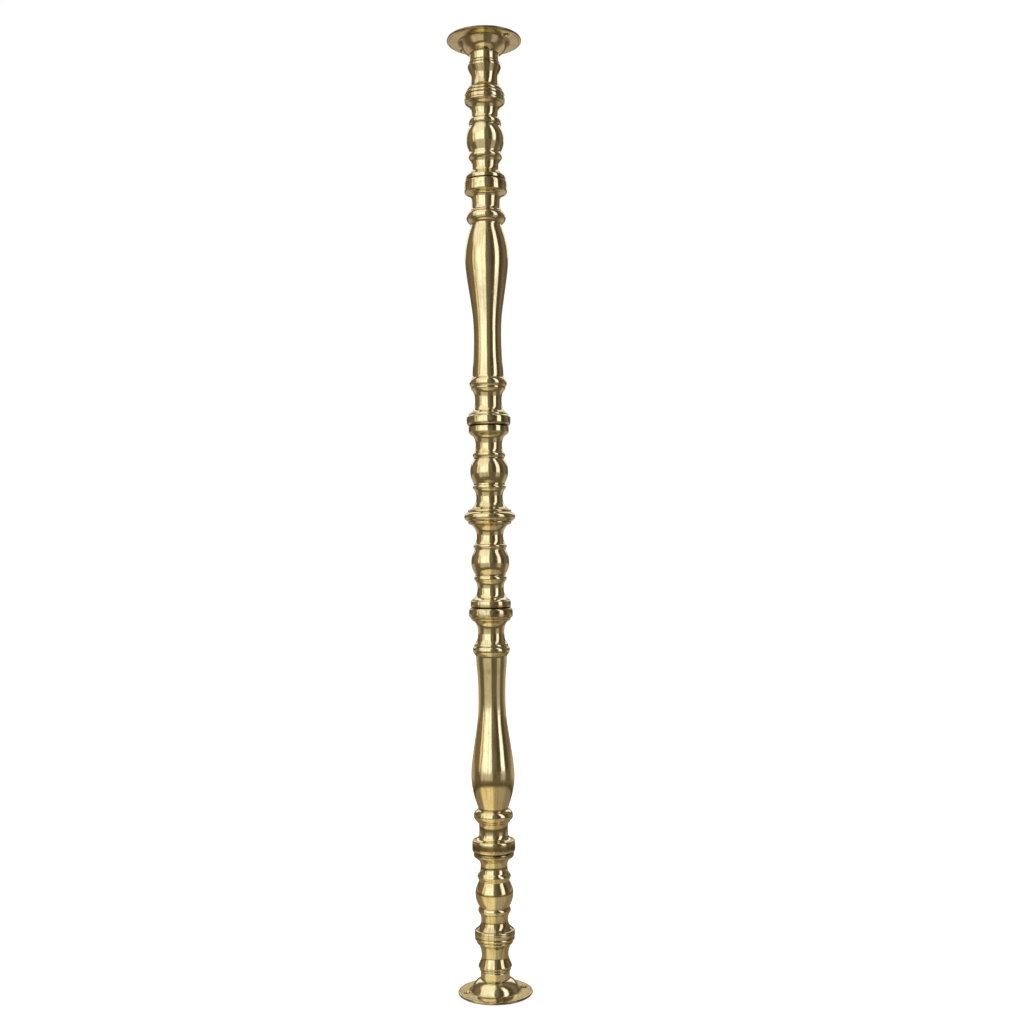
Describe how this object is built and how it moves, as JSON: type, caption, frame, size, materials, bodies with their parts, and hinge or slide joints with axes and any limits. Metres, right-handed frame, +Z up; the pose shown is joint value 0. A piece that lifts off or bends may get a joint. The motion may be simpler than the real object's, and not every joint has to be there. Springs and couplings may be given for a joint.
{
  "type": "flanged rail post",
  "caption": "Turned brass baluster post with vase, ball and collar mouldings, bolted up on a tie rod, with a round screw flange at each end.",
  "frame": {"origin": "centre of the lower flange's bearing face, which is the bottom centre of the part", "axes": "+Z up along the post's axis, from the lower flange to the upper; +X and +Y across it, with the lower flange's screw holes about 13 degrees from X"},
  "size_m": [0.0714, 0.0714, 0.9144],
  "materials": {
    "polished_brass": "hand-polished cast brass with fine turning and polish lines",
    "flange_brass": "polished cast brass, duller on the underside",
    "bush_brass": "plain turned brass, not polished",
    "steel": "bright zinc-plated steel"
  },
  "bodies": {
    "column": {"centre_section": "polished_brass", "lower_vase_section": "polished_brass", "upper_vase_section": "polished_brass", "lower_end_section": "polished_brass", "upper_end_section": "polished_brass", "bush_bottom_flange": "bush_brass", "bush_lower_end": "bush_brass", "bush_lower_vase": "bush_brass", "bush_upper_vase": "bush_brass", "bush_upper_end": "bush_brass", "bush_top_flange": "bush_brass", "tie_rod": "steel", "bottom_nut": "steel", "top_nut": "steel", "bottom_washer": "steel", "top_washer": "steel"},
    "lower_flange": {"bottom_flange": "flange_brass"},
    "upper_flange": {"top_flange": "flange_brass"}
  },
  "joints": [
    {"name": "bottom_flange_turn", "type": "hinge", "parent": "column", "child": "lower_flange", "pos_m": [0, 0, 0.01], "axis": [0, 0, 1], "range_deg": [-180, 180]},
    {"name": "top_flange_turn", "type": "hinge", "parent": "column", "child": "upper_flange", "pos_m": [0, 0, 0.9044], "axis": [0, 0, 1], "range_deg": [-180, 180]}
  ]
}
